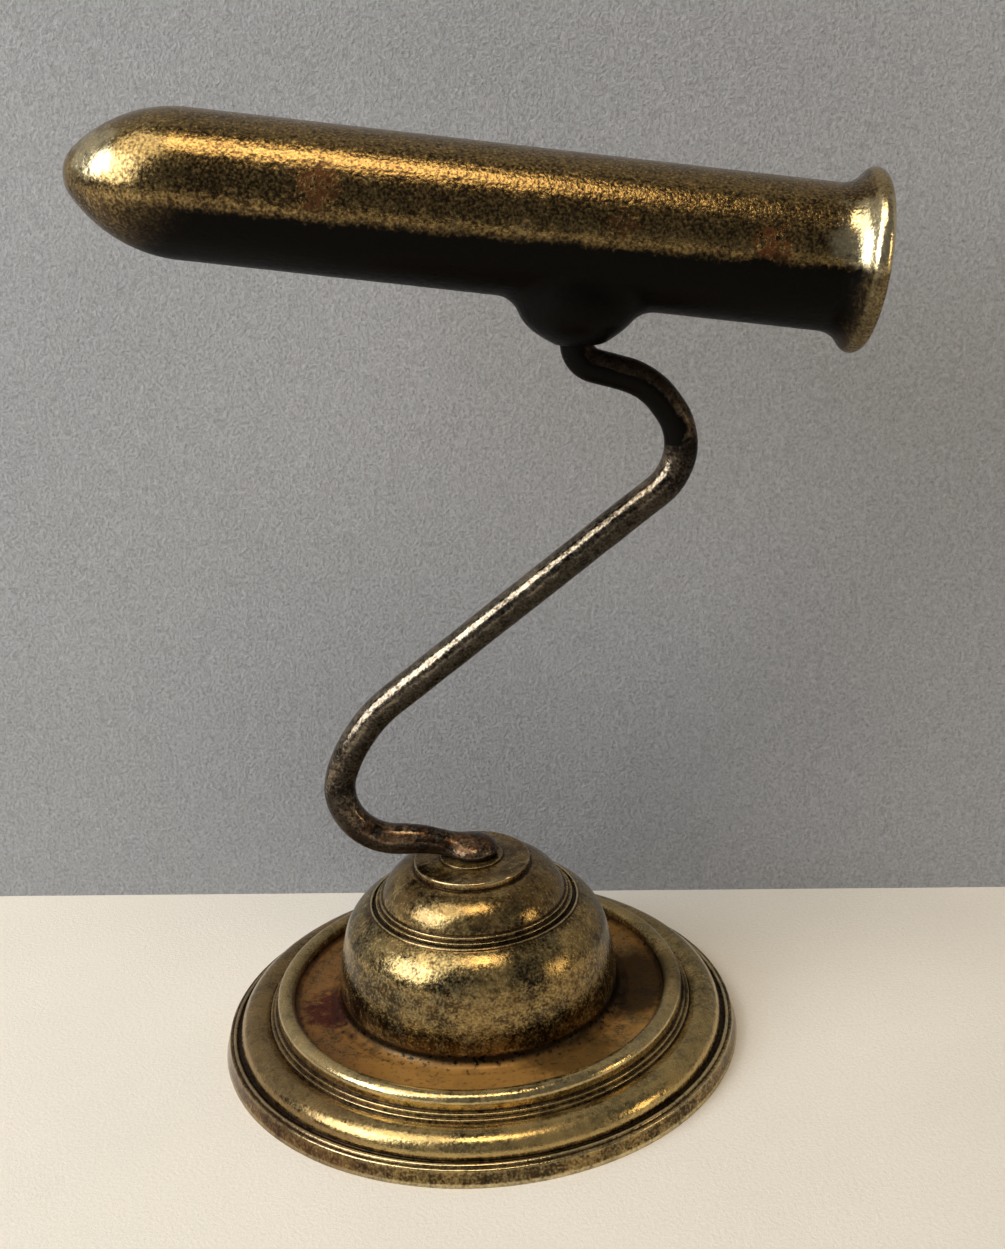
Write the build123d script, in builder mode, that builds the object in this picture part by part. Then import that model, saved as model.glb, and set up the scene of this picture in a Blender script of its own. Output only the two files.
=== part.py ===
"""Goffering iron: a cast barrel on a bent wrought stem that is bolted through a moulded cast foot."""

from build123d import *
from math import acos, asin, cos, degrees, radians, sin, sqrt, tan
import os

os.makedirs("parts", exist_ok=True)

# Frame: millimetres, +Z up, origin on the table at the centre of the foot.
# Barrel and stem lie in the XZ plane, the nose towards -X and the mouth towards +X.

# Foot casting: a stepped moulding round a dished plate.
foot_radius = 57.15
band_height = 3.6
band_draft = 0.85
band_round = 0.5
ledge_width = 0.9
bead_radius = 0.5
quirk_width = 0.8
torus_radius = 4.2
torus_lift = 0.4
torus_sweep = 130.0
step_width = 0.8
step_height = 0.85
step_count = 2
lip_radius = 2.0
lip_rise = 1.5
dish_depth = 3.0
dish_fillet = 0.8

# Bell in the middle of the plate: a steep wall that rolls into a shoulder.
bell_radius = 30.7
bell_fillet = 2.6
bell_wall_radius = 48.0
bell_wall_turn = 15.7
bell_shoulder_radius = 11.6
bell_shoulder_turn = 47.3

# Rings, cap and disc on top of the bell.
ring_radius = 0.35
groove_width = 0.7
groove_depth = 0.3
collar_width = 0.9
collar_height = 0.85
cap_inset = 0.6
cap_run = 6.5
cap_rise = 6.5
cap_bulge = 1.25
disc_inset = 0.9
disc_height = 1.7
disc_round = 0.5
disc_rise = 0.3
seat_radius = 6.9
seat_height = 0.5
seat_round = 0.25

# Hollow underside of the foot.
wall = 3.2
foot_ring_width = 4.6
foot_ring_rise = 1.4
plate_run_out = 7.5
crown_thickness = 4.4
crown_pad_radius = 11.4

# Barrel: a bullet-nosed tube, open at the flared mouth.
barrel_height = 179.0
barrel_droop = 9.13
barrel_radius = 14.1
nose_reach = 69.6
nose_tip_radius = 7.1
nose_ogive_radius = 27.8
mouth_reach = 84.9
mouth_lip_radius = 17.65
mouth_lip_section = 2.0
mouth_flare_radius = 6.0
mouth_round = 1.4
bore_radius = 11.0
nose_wall = 11.5

# Boss cast on the underside of the barrel. Its face lies a drop below the barrel's height,
# and its own axis a shift past the tenon's, towards the mouth.
boss_offset = 26.5
boss_shift = 0.7
boss_drop = 26.1
boss_face_radius = 5.2
boss_slope = 30.0
boss_radius = 10.3
boss_cup_height = 3.8
boss_taper = 1.4
boss_fillet = 5.5

# Stem: one round rod in a flattened S, with a tenon at the top and a tail at the bottom.
rod_radius = 3.45
tenon_radius = 2.6
tenon_length = 7.6
tail_radius = 3.0
tail_past_nut = 2.0
knuckle_radius = 6.2
knuckle_height = 3.9
knuckle_edge = 0.9
knuckle_base_radius = 5.5

# Bends of the rod above the crown: reach from the foot's axis, rise above the seat, and radius.
root_reach = 2.6
root_sink = 0.2
arm_reach = 8.6
arm_rise = 4.0
arm_bend = 16.0
heel_reach = 32.7
heel_rise = 5.4
heel_bend = 12.2
back_reach = 22.4
back_rise = 31.1
back_bend = 35.5

# Bends of the rod below the boss: reach from the boss's axis, drop below its face, and radius.
front_reach = 24.5
front_drop = 23.8
front_bend = 12.2
crest_reach = 14.2
crest_drop = 8.2
crest_bend = 15.5
neck_drop = 3.7
neck_bend = 4.9

# Washer and square nut under the crown.
washer_radius = 8.0
washer_thickness = 1.5
nut_width = 12.7
nut_thickness = 5.5
nut_corner_radius = 8.1

# Clearances.
thread_clearance = 0.05
tail_clearance = 0.15
tenon_end_gap = 0.4

# Radii and levels of the moulding, from the rim inwards.
band_radius = foot_radius - band_draft
ledge_inner = band_radius - ledge_width
bead_inner = ledge_inner - 2 * bead_radius
torus_outer = bead_inner - quirk_width
torus_start = degrees(asin(torus_lift / torus_radius))
torus_axis = torus_outer - sqrt(torus_radius**2 - torus_lift**2)
torus_level = band_height + torus_lift
step_radius = torus_axis + torus_radius * cos(radians(torus_sweep))
step_level = torus_level + torus_radius * sin(radians(torus_sweep))
lip_outer = step_radius - step_count * step_width
lip_level = step_level + step_count * step_height + lip_rise
lip_inner = lip_outer - 2 * lip_radius
dish_level = lip_level + lip_radius - dish_depth

# The bell's shoulder ends where its two arcs end, and the rings and the cap stand on it.
bell_level = dish_level + bell_fillet
bell_turn = bell_wall_turn + bell_shoulder_turn
wall_run = bell_wall_radius - bell_shoulder_radius
shoulder_radius = bell_radius - bell_wall_radius + wall_run * cos(radians(bell_wall_turn))
shoulder_radius += bell_shoulder_radius * cos(radians(bell_turn))
shoulder_level = bell_level + wall_run * sin(radians(bell_wall_turn))
shoulder_level += bell_shoulder_radius * sin(radians(bell_turn))
ring_inner = shoulder_radius - 2 * ring_radius
collar_radius = ring_inner - groove_width
collar_level = shoulder_level + collar_height
cap_level = collar_level + collar_height
cap_radius = collar_radius - collar_width - cap_inset
cap_top = (cap_radius - cap_run, cap_level + cap_rise)
disc_radius = cap_top[0] - disc_inset
disc_level = cap_top[1] + disc_height
seat_level = disc_level + disc_rise + seat_height
crown_underside = seat_level - crown_thickness

with BuildPart() as base:
    with BuildSketch(Plane.XZ):
        with BuildLine():
            rim = Line((foot_radius, 0), (band_radius, band_height - band_round))
            rim_edge = JernArc(rim @ 1, (0, 1), band_round, 90)
            ledge = Line(rim_edge @ 1, (ledge_inner, band_height))
            bead_top = (ledge_inner - bead_radius, band_height + bead_radius)
            bead = ThreePointArc(ledge @ 1, bead_top, (bead_inner, band_height))
            Line(bead @ 1, (torus_outer, band_height))
            torus_center = (torus_axis, torus_level)
            CenterArc(torus_center, torus_radius, -torus_start, torus_sweep + torus_start)
            for step in range(step_count):
                outer = step_radius - step * step_width
                foot_of_riser = step_level + step * step_height
                top_of_riser = foot_of_riser + step_height
                riser = Line((outer, foot_of_riser), (outer, top_of_riser))
                Line(riser @ 1, (outer - step_width, top_of_riser))
            Line((lip_outer, lip_level - lip_rise), (lip_outer, lip_level))
            lip = CenterArc((lip_outer - lip_radius, lip_level), lip_radius, 0, 180)
            dish_side = Line(lip @ 1, (lip_inner, dish_level + dish_fillet))
            dish_corner = JernArc(dish_side @ 1, (0, -1), dish_fillet, -90)
            dish = Line(dish_corner @ 1, (bell_radius + bell_fillet, dish_level))
            bell_corner = JernArc(dish @ 1, (-1, 0), bell_fillet, -90)
            bell = JernArc(bell_corner @ 1, (0, 1), bell_wall_radius, bell_wall_turn)
            shoulder = JernArc(bell @ 1, bell % 1, bell_shoulder_radius, bell_shoulder_turn)
            ring_top = (shoulder_radius - ring_radius, shoulder_level + ring_radius)
            ring = ThreePointArc(shoulder @ 1, ring_top, (ring_inner, shoulder_level))
            groove_floor = (ring_inner - groove_width / 2, shoulder_level - groove_depth)
            groove = ThreePointArc(ring @ 1, groove_floor, (collar_radius, shoulder_level))
            collar_side = Line(groove @ 1, (collar_radius, collar_level))
            collar = Line(collar_side @ 1, (collar_radius - collar_width, collar_level))
            cap_side = Line(collar @ 1, (collar_radius - collar_width, cap_level))
            cap_ledge = Line(cap_side @ 1, (cap_radius, cap_level))
            cap = SagittaArc(cap_ledge @ 1, cap_top, -cap_bulge)
            crease = Line(cap @ 1, (disc_radius, cap_top[1]))
            disc_side = Line(crease @ 1, (disc_radius, disc_level - disc_round))
            disc_edge = JernArc(disc_side @ 1, (0, 1), disc_round, 90)
            disc = Line(disc_edge @ 1, (seat_radius, disc_level + disc_rise))
            seat_side = Line(disc @ 1, (seat_radius, seat_level - seat_round))
            seat_edge = JernArc(seat_side @ 1, (0, 1), seat_round, 90)
            seat = Line(seat_edge @ 1, (0, seat_level))
            crown = Line(seat @ 1, (0, crown_underside))
            pad = Line(crown @ 1, (crown_pad_radius, crown_underside))
            hollow_cap_foot = (cap_radius - wall, cap_level - wall)
            hollow_cap = SagittaArc(pad @ 1, hollow_cap_foot, cap_bulge)
            inner_shoulder_start = (
                shoulder_radius - wall * cos(radians(bell_turn)),
                shoulder_level - wall * sin(radians(bell_turn)),
            )
            Line(hollow_cap @ 1, inner_shoulder_start)
            inner_shoulder = JernArc(
                inner_shoulder_start,
                shoulder % 1 * -1,
                bell_shoulder_radius - wall,
                -bell_shoulder_turn,
            )
            inner_bell = JernArc(
                inner_shoulder @ 1, inner_shoulder % 1, bell_wall_radius - wall, -bell_wall_turn
            )
            inner_corner = JernArc(inner_bell @ 1, (0, -1), bell_fillet + wall, 90)
            foot_ring_inner = foot_radius - foot_ring_width
            underside = Line(inner_corner @ 1, (foot_ring_inner - plate_run_out, dish_level - wall))
            Polyline(
                underside @ 1,
                (foot_ring_inner, foot_ring_rise),
                (foot_ring_inner, 0),
                rim @ 0,
            )
        make_face()
    revolve()
    with Locations((0, 0, seat_level)):
        Hole(tail_radius + tail_clearance, depth=crown_thickness)
base.part.label = "base"

boss_level = barrel_height - boss_drop

# Stem: the route runs up from inside the knuckle on the crown's seat to the boss's face.
route = [
    (root_reach, seat_level - root_sink),
    (-arm_reach, seat_level + arm_rise),
    (-heel_reach, seat_level + heel_rise),
    (-back_reach, seat_level + back_rise),
    (boss_offset + front_reach, boss_level - front_drop),
    (boss_offset + crest_reach, boss_level - crest_drop),
    (boss_offset, boss_level - neck_drop),
    (boss_offset, boss_level),
]
bend_radii = [arm_bend, heel_bend, back_bend, front_bend, crest_bend, neck_bend]
nut_level = crown_underside - washer_thickness - nut_thickness

with BuildPart() as stem:
    with BuildLine(Plane.XZ):
        rod_line = FilletPolyline(*route, radius=bend_radii)
    with BuildSketch(Plane(origin=rod_line @ 0, z_dir=rod_line % 0)):
        Circle(rod_radius)
    sweep(path=rod_line)
    split(bisect_by=Plane.XY.offset(seat_level), keep=Keep.TOP)
    with BuildSketch(Plane.XZ):
        with BuildLine():
            knuckle_base = Line((0, seat_level), (knuckle_base_radius, seat_level))
            Line(knuckle_base @ 1, (knuckle_radius, seat_level + knuckle_edge))
            knuckle_center = (0, seat_level + knuckle_edge)
            EllipticalCenterArc(
                knuckle_center, knuckle_radius, knuckle_height, start_angle=0, arc_size=90
            )
            Line((0, seat_level + knuckle_edge + knuckle_height), (0, seat_level))
        make_face()
    revolve()
    with BuildSketch(Plane.XY.offset(seat_level)):
        Circle(tail_radius)
    extrude(amount=nut_level - tail_past_nut - seat_level)
    with BuildSketch(Plane.XY.offset(boss_level)):
        with Locations((boss_offset, 0)):
            Circle(tenon_radius)
    extrude(amount=tenon_length)
stem.part.label = "stem"

with BuildPart() as stem_washer:
    with BuildSketch(Plane.XY.offset(crown_underside)):
        Circle(washer_radius)
        Circle(tail_radius + tail_clearance, mode=Mode.SUBTRACT)
    extrude(amount=-washer_thickness)
stem_washer.part.label = "stem_washer"

with BuildPart() as stem_nut:
    with BuildSketch(Plane.XY.offset(nut_level)):
        Rectangle(nut_width, nut_width)
        Circle(nut_corner_radius, mode=Mode.INTERSECT)
        Circle(tail_radius + thread_clearance, mode=Mode.SUBTRACT)
    extrude(amount=nut_thickness)
stem_nut.part.label = "stem_nut"

# Barrel: its section is drawn along its own axis, with the mouth on the +x side.
droop = radians(barrel_droop)
mouth_direction = (cos(droop), 0, -sin(droop))
barrel_plane = Plane(origin=(0, 0, barrel_height), x_dir=mouth_direction, z_dir=(0, -1, 0))
barrel_axis = Axis((0, 0, barrel_height), mouth_direction)

# The nose's two arcs meet where the ogive's normal passes through the tip's centre.
tip_offset = nose_ogive_radius - nose_tip_radius
tip_turn = degrees(asin((nose_ogive_radius - barrel_radius) / tip_offset))
# The flare's arc meets the lip's arc on the line through their centres.
lip_axis_radius = mouth_lip_radius - mouth_lip_section
flare_rise = barrel_radius + mouth_flare_radius - lip_axis_radius
flare_turn = degrees(acos(flare_rise / (mouth_flare_radius + mouth_lip_section)))
flare_run = sin(radians(flare_turn)) * (mouth_flare_radius + mouth_lip_section)
flare_start = mouth_reach - mouth_lip_section - flare_run
# The boss runs up to the barrel's axis, inside the tube's wall.
boss_axis = boss_offset + boss_shift
boss_top = barrel_height - boss_axis * tan(droop)

with BuildPart() as barrel:
    with BuildSketch(barrel_plane):
        with BuildLine():
            tip = JernArc((-nose_reach, 0), (0, 1), nose_tip_radius, -tip_turn)
            ogive = JernArc(tip @ 1, tip % 1, nose_ogive_radius, tip_turn - 90)
            body = Line(ogive @ 1, (flare_start, barrel_radius))
            flare = JernArc(body @ 1, (1, 0), mouth_flare_radius, flare_turn)
            mouth_lip = JernArc(flare @ 1, flare % 1, mouth_lip_section, -flare_turn - 90)
            Polyline(mouth_lip @ 1, (mouth_reach, 0), (-nose_reach, 0))
        make_face()
    revolve(axis=barrel_axis)
    with BuildSketch(Plane.XZ.shift_origin((boss_axis, 0, 0))):
        with BuildLine():
            boss_face = Line((0, boss_level), (boss_face_radius, boss_level))
            boss_side = Spline(
                boss_face @ 1,
                (boss_radius, boss_level + boss_cup_height),
                (boss_radius + boss_taper, boss_top),
                tangents=((cos(radians(boss_slope)), sin(radians(boss_slope))), (0, 1)),
            )
            Polyline(boss_side @ 1, (0, boss_top), (0, boss_level))
        make_face()
    revolve(axis=Axis((boss_axis, 0, 0), (0, 0, 1)))
    fillet(barrel.edges(Select.NEW), boss_fillet)
    with BuildSketch(barrel_plane):
        with BuildLine():
            bore_end = bore_radius - nose_reach + nose_wall
            bore_nose = CenterArc((bore_end, 0), bore_radius, 180, -90)
            bore_side = Line(bore_nose @ 1, (mouth_reach - mouth_round, bore_radius))
            mouth_edge = JernArc(bore_side @ 1, (1, 0), mouth_round, 90)
            Polyline(mouth_edge @ 1, (mouth_reach, 0), bore_nose @ 0)
        make_face()
    revolve(axis=barrel_axis, mode=Mode.SUBTRACT)
    with BuildSketch(Plane.XY.offset(boss_level)):
        with Locations((boss_offset, 0)):
            Circle(tenon_radius + thread_clearance)
    extrude(amount=tenon_length + tenon_end_gap, mode=Mode.SUBTRACT)
barrel.part.label = "barrel"

for piece in (base, stem, stem_washer, stem_nut, barrel):
    export_step(piece.part, f"parts/{piece.part.label}.step")
    print(f"{piece.part.label}: {piece.part.volume:.0f} mm3")
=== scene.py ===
"""Dressed model of a goffering iron: a bullet-nosed barrel on a bent rod stem and a moulded round foot.

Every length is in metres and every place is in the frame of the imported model: +Z up, the origin on the
table at the centre of the foot, +X from the nose of the barrel towards its open mouth.
"""

import logging
from dataclasses import dataclass, field
from enum import Enum
from math import acos, asin, atan2, cos, degrees, pi, radians, sin, sqrt, tan
from typing import Any, Callable

import bpy
import numpy as np
from mathutils import Matrix, Vector, noise


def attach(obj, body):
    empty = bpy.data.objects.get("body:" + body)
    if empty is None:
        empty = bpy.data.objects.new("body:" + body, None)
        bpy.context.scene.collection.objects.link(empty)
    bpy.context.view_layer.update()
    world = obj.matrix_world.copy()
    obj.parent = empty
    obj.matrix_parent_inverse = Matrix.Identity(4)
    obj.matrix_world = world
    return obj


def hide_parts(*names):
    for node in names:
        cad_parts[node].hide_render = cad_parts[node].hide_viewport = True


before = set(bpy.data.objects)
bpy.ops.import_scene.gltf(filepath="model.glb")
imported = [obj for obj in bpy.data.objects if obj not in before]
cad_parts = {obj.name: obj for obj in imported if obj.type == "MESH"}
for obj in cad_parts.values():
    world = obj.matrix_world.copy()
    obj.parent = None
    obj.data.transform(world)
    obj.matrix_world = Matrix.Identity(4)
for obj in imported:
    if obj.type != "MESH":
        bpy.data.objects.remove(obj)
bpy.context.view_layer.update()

MM = 0.001
BODY = "root"
Colour = tuple[float, float, float]
Point = tuple[float, float, float]

log = logging.getLogger("goffering_iron")


class Value:
    """A number that varies over a surface. Python's operators on it add Math nodes to its shader."""

    def __init__(self, shader: "Shader", socket: bpy.types.NodeSocket) -> None:
        """Keeps the shader and the output socket that carries the number."""
        self.shader = shader
        self.socket = socket

    def math(self, operation: str, *numbers: Any, clamp: bool = False) -> "Value":
        """Adds one Math node.

        Args:
            operation: the node's operation.
            numbers: its inputs, in order.
            clamp: keeps the result from 0 to 1.

        Returns:
            The node's result.
        """
        settings = {"operation": operation, "use_clamp": clamp}
        node = self.shader.node("ShaderNodeMath", settings, dict(enumerate(numbers)))
        return Value(self.shader, node.outputs[0])

    def __add__(self, other: Any) -> "Value":
        """Sum."""
        return self.math("ADD", self, other)

    __radd__ = __add__

    def __sub__(self, other: Any) -> "Value":
        """Difference."""
        return self.math("SUBTRACT", self, other)

    def __rsub__(self, other: Any) -> "Value":
        """Difference from a plain number."""
        return self.math("SUBTRACT", other, self)

    def __mul__(self, other: Any) -> "Value":
        """Product."""
        return self.math("MULTIPLY", self, other)

    __rmul__ = __mul__

    def __truediv__(self, other: Any) -> "Value":
        """Quotient."""
        return self.math("DIVIDE", self, other)

    def __pow__(self, other: Any) -> "Value":
        """Power."""
        return self.math("POWER", self, other)

    def clamped(self) -> "Value":
        """The value kept from 0 to 1."""
        return self.math("ADD", self, 0.0, clamp=True)

    def step(self, low: float, high: float) -> "Value":
        """Smooth step.

        Args:
            low: where the result is 0.
            high: where the result is 1. It may be less than low.

        Returns:
            The smooth step from 0 to 1.
        """
        inputs = {"Value": self, "From Min": low, "From Max": high}
        settings = {"interpolation_type": "SMOOTHSTEP"}
        node = self.shader.node("ShaderNodeMapRange", settings, inputs)
        return Value(self.shader, node.outputs["Result"])


class Shader:
    """The node tree of one material, in which textures are read in millimetres of the frame."""

    def __init__(self, name: str) -> None:
        """Makes a material with a Principled shader of its own.

        Args:
            name: the material's name.
        """
        self.material = bpy.data.materials.new(name)
        self.material.use_nodes = True
        self.tree = self.material.node_tree
        self.tree.nodes.clear()
        self.surface = self.node("ShaderNodeBsdfPrincipled")
        output = self.node("ShaderNodeOutputMaterial")
        self.tree.links.new(self.surface.outputs[0], output.inputs["Surface"])
        coordinates = self.node("ShaderNodeTexCoord").outputs["Object"]
        self.place = self.vector("SCALE", coordinates, Scale=1 / MM)

    def node(
        self,
        kind: str,
        settings: dict[str, Any] | None = None,
        inputs: dict[Any, Any] | None = None,
    ) -> bpy.types.Node:
        """Adds any node.

        Args:
            kind: the node's type.
            settings: its own settings, set first.
            inputs: values or links by input name or number.

        Returns:
            The node.
        """
        made = self.tree.nodes.new(kind)
        for key, setting in (settings or {}).items():
            setattr(made, key, setting)
        for key, given in (inputs or {}).items():
            self.feed(made.inputs[key], given)
        return made

    def feed(self, socket: bpy.types.NodeSocket, given: Any) -> None:
        """Links or sets one input.

        Args:
            socket: the input.
            given: a Value, an output socket, a colour or a number.
        """
        if isinstance(given, Value):
            self.tree.links.new(given.socket, socket)
        elif isinstance(given, bpy.types.NodeSocket):
            self.tree.links.new(given, socket)
        elif socket.type == "RGBA":
            socket.default_value = (*given, 1.0)
        else:
            socket.default_value = given

    def vector(self, operation: str, *vectors: Any, **inputs: Any) -> bpy.types.NodeSocket:
        """Adds one Vector Math node and returns its vector."""
        given = {**dict(enumerate(vectors)), **inputs}
        return self.node("ShaderNodeVectorMath", {"operation": operation}, given).outputs[0]

    def axis(self, letter: str) -> Value:
        """One coordinate of the surface point, in millimetres: X, Y or Z."""
        split = self.node("ShaderNodeSeparateXYZ", None, {0: self.place})
        return Value(self, split.outputs[letter])

    def facing(self, letter: str) -> Value:
        """One part of the surface normal: X, Y or Z."""
        normal = self.node("ShaderNodeNewGeometry").outputs["Normal"]
        split = self.node("ShaderNodeSeparateXYZ", None, {0: normal})
        return Value(self, split.outputs[letter])

    def attribute(self, name: str) -> Value:
        """A number that the mesh carries at its vertices."""
        found = self.node("ShaderNodeAttribute", {"attribute_name": name})
        return Value(self, found.outputs["Fac"])

    def noise(
        self, size: float, detail: float = 3.0, rough: float = 0.55, stretch: Point = (1, 1, 1)
    ) -> Value:
        """Cloudy noise.

        Args:
            size: the size of its features, in millimetres.
            detail: how many finer layers it has.
            rough: how strong those are.
            stretch: how much longer the features are along each axis.

        Returns:
            The noise, from 0 to 1, about 0.5 on average.
        """
        squeezed = self.vector("DIVIDE", self.place, stretch)
        inputs = {"Vector": squeezed, "Scale": 1 / size, "Detail": detail, "Roughness": rough}
        return Value(self, self.node("ShaderNodeTexNoise", None, inputs).outputs["Fac"])

    def cells(self, size: float, randomness: float = 1.0) -> Value:
        """The distance to the nearest of a scatter of points.

        Args:
            size: the mean spacing of the points, in millimetres.
            randomness: how irregular they are, up to 1.

        Returns:
            The distance, 0 at a point and about 1 between points.
        """
        inputs = {"Vector": self.place, "Scale": 1 / size, "Randomness": randomness}
        return Value(self, self.node("ShaderNodeTexVoronoi", None, inputs).outputs["Distance"])

    def near(self, place: Point, radius: float) -> Value:
        """How near a place is: 1 close to it, fading to 0 at a ragged edge.

        Args:
            place: the place, in millimetres.
            radius: how far the spot reaches, in millimetres.

        Returns:
            The nearness.
        """
        apart = self.vector("SUBTRACT", self.place, place)
        length = self.node("ShaderNodeVectorMath", {"operation": "LENGTH"}, {0: apart}).outputs["Value"]
        ragged = (self.noise(radius * 0.35, 4.0, 0.6) - 0.5) * radius
        return (Value(self, length) + ragged).step(radius, radius * 0.5)

    def mix(self, share: Any, low: Any, high: Any) -> bpy.types.NodeSocket:
        """Blends two colours.

        Args:
            share: how much of the second colour shows.
            low: the first colour.
            high: the second colour.

        Returns:
            The blended colour.
        """
        inputs = {0: share, 6: low, 7: high}
        settings = {"data_type": "RGBA", "clamp_factor": True}
        return self.node("ShaderNodeMix", settings, inputs).outputs[2]

    def tint(self, colour: Any, strength: Value) -> bpy.types.NodeSocket:
        """A colour made lighter or darker by a number that varies."""
        return self.vector("SCALE", colour, Scale=strength)

    def bump(self, height: Value, depth: float) -> bpy.types.NodeSocket:
        """A normal bent by a height.

        Args:
            height: the height, about 0 to 1.
            depth: what a height of 1 is worth, in metres.

        Returns:
            The normal.
        """
        inputs = {"Height": height, "Distance": depth, "Strength": 1.0}
        return self.node("ShaderNodeBump", None, inputs).outputs[0]


@dataclass(frozen=True)
class Patch:
    """A local spot of a finish: its centre in millimetres, its radius and how strong it is."""

    place: Point
    radius: float
    strength: float = 1.0


@dataclass(frozen=True)
class Patina:
    """Old bronze-brown finish on iron: worn metal, brown skin, black scale, rust and grey bloom, with painted shade and
    painted highlights where a finish lays them.

    The five colours are what the surface shows, from the worn metal outwards.
    """

    name: str
    metal: Colour = (0.37, 0.285, 0.12)
    brown: Colour = (0.058, 0.038, 0.018)
    black: Colour = (0.0025, 0.002, 0.0015)
    rust: Colour = (0.13, 0.045, 0.015)
    bloom: Colour = (0.085, 0.085, 0.062)
    bright: Colour = (0.82, 0.70, 0.42)
    worn: float = 0.38
    clouded: float = 1.3
    mottled: float = 1.8
    speckled: float = 1.6
    rusted: float = 0.15
    bloomed: float = 0.25
    gloss: float = 0.18
    cloud: float = 9.0
    mottle: float = 1.7
    grain: float = 0.55
    grain_depth: float = 0.035 * MM
    edge_wear: float = 0.45
    grime: float = 0.8
    lacquer: float = 0.12
    polished: float = 0.8
    scars: tuple[Patch, ...] = ()

    def scale_and_painted_shade(self, shader: Shader) -> Value | float:
        """Where black scale and painted shade lie. A plain finish has neither."""
        return 0.0

    def rust_bed_and_sheen(self, shader: Shader) -> Value | float:
        """Where rust collects besides the hollows, and where a painted sheen lies."""
        return 0.0

    def wear_and_painted_light(self, shader: Shader) -> Value | float:
        """Where the skin is worn through to the metal, and where light or shade is painted, as a change in wear."""
        return 0.0

    def painted_highlight(self, shader: Shader) -> Value | float:
        """Where a painted highlight lies, in bright metal."""
        return 0.0

    def coarseness(self, shader: Shader) -> Value | float:
        """How strong the grain is."""
        return 1.0

    def lacquered(self, shader: Shader, colour: bpy.types.NodeSocket) -> bpy.types.NodeSocket:
        """The colour with any coloured lacquer over it."""
        return colour

    def scarred(self, shader: Shader, mottle: Value) -> Value | float:
        """Where single rough brown scars lie."""
        scars: Value | float = 0.0
        for scar in self.scars:
            spot = shader.near(scar.place, scar.radius)
            scars = spot * mottle.step(0.42, 0.56) * scar.strength + scars
        return scars

    def build(self) -> bpy.types.Material:
        """Builds the material.

        Returns:
            The material.
        """
        shader = Shader(self.name)
        crest, hollow = shader.attribute("crest"), shader.attribute("hollow")
        cloud = shader.noise(self.cloud, 4.0, 0.6) - 0.5
        mottle = shader.noise(self.mottle, 5.0, 0.7)
        grain = shader.noise(self.grain, 1.5, 0.5)
        scar = self.scarred(shader, mottle)
        wear = self.worn + cloud * self.clouded + (mottle - 0.5) * self.mottled
        # on the barrel this change in wear also holds a painted reflection and painted shade
        wear = wear + (grain - 0.5) * self.speckled + crest * self.edge_wear - hollow * 0.5 + self.wear_and_painted_light(shader) - scar
        wear = wear.clamped()
        patches = shader.noise(self.cloud * 0.8, 5.0, 0.65).step(0.66 - self.bloomed, 0.80)
        bloom = patches * mottle.step(0.38, 0.60)
        rust = (hollow * 0.5 + cloud + self.rusted).step(0.0, 0.4) * self.rusted * 2.0
        # on the foot this bed also carries a painted sheen at the front of the dish
        bed = self.rust_bed_and_sheen(shader)
        rust = (rust + bed + scar * 0.6).clamped()
        specks = shader.noise(self.grain * 1.9, 2.0, 0.5).step(0.57, 0.66)
        grime = hollow.step(0.25, 1.0) * self.grime * (1.0 - bed * 0.8)
        grime = (grime + specks * 0.45 * (1.0 - wear)).clamped()
        # black scale together with painted shade, laid in black over all the other colours
        scale_and_shade = self.scale_and_painted_shade(shader)
        colour = shader.mix(wear, self.brown, self.metal)
        edge = crest.step(0.45, 1.0) * (wear * 0.7 + 0.3) * self.polished
        # crests worn bright, and painted highlights, in the bright colour
        colour = shader.mix(edge + self.painted_highlight(shader), colour, self.bright)
        colour = shader.mix(bloom * 0.75, colour, self.bloom)
        colour = self.lacquered(shader, shader.mix(rust, colour, self.rust))
        colour = shader.mix(grime, colour, self.black)
        colour = shader.mix(scale_and_shade, colour, self.black)
        rough = self.gloss + (mottle - 0.5) * 0.30 + (grain - 0.5) * 0.30 + bloom * 0.16 + rust * 0.16 + grime * 0.10 - edge * 0.08
        height = (grain * self.coarseness(shader) + mottle * 1.1 - scar * 1.5) * (1.0 - scale_and_shade * 0.55)
        surface = shader.surface.inputs
        shader.feed(surface["Base Color"], colour)
        shader.feed(surface["Roughness"], (rough + scale_and_shade * 0.14).clamped())
        shader.feed(surface["Metallic"], (1.0 - rust * 0.80 - bloom * 0.30) * (1.0 - scale_and_shade))
        shader.feed(surface["Coat Weight"], (1.0 - scale_and_shade) * self.lacquer)
        shader.feed(surface["Normal"], shader.bump(height, self.grain_depth))
        surface["Coat Roughness"].default_value = 0.22
        surface["Specular IOR Level"].default_value = 0.04
        return shader.material


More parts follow.
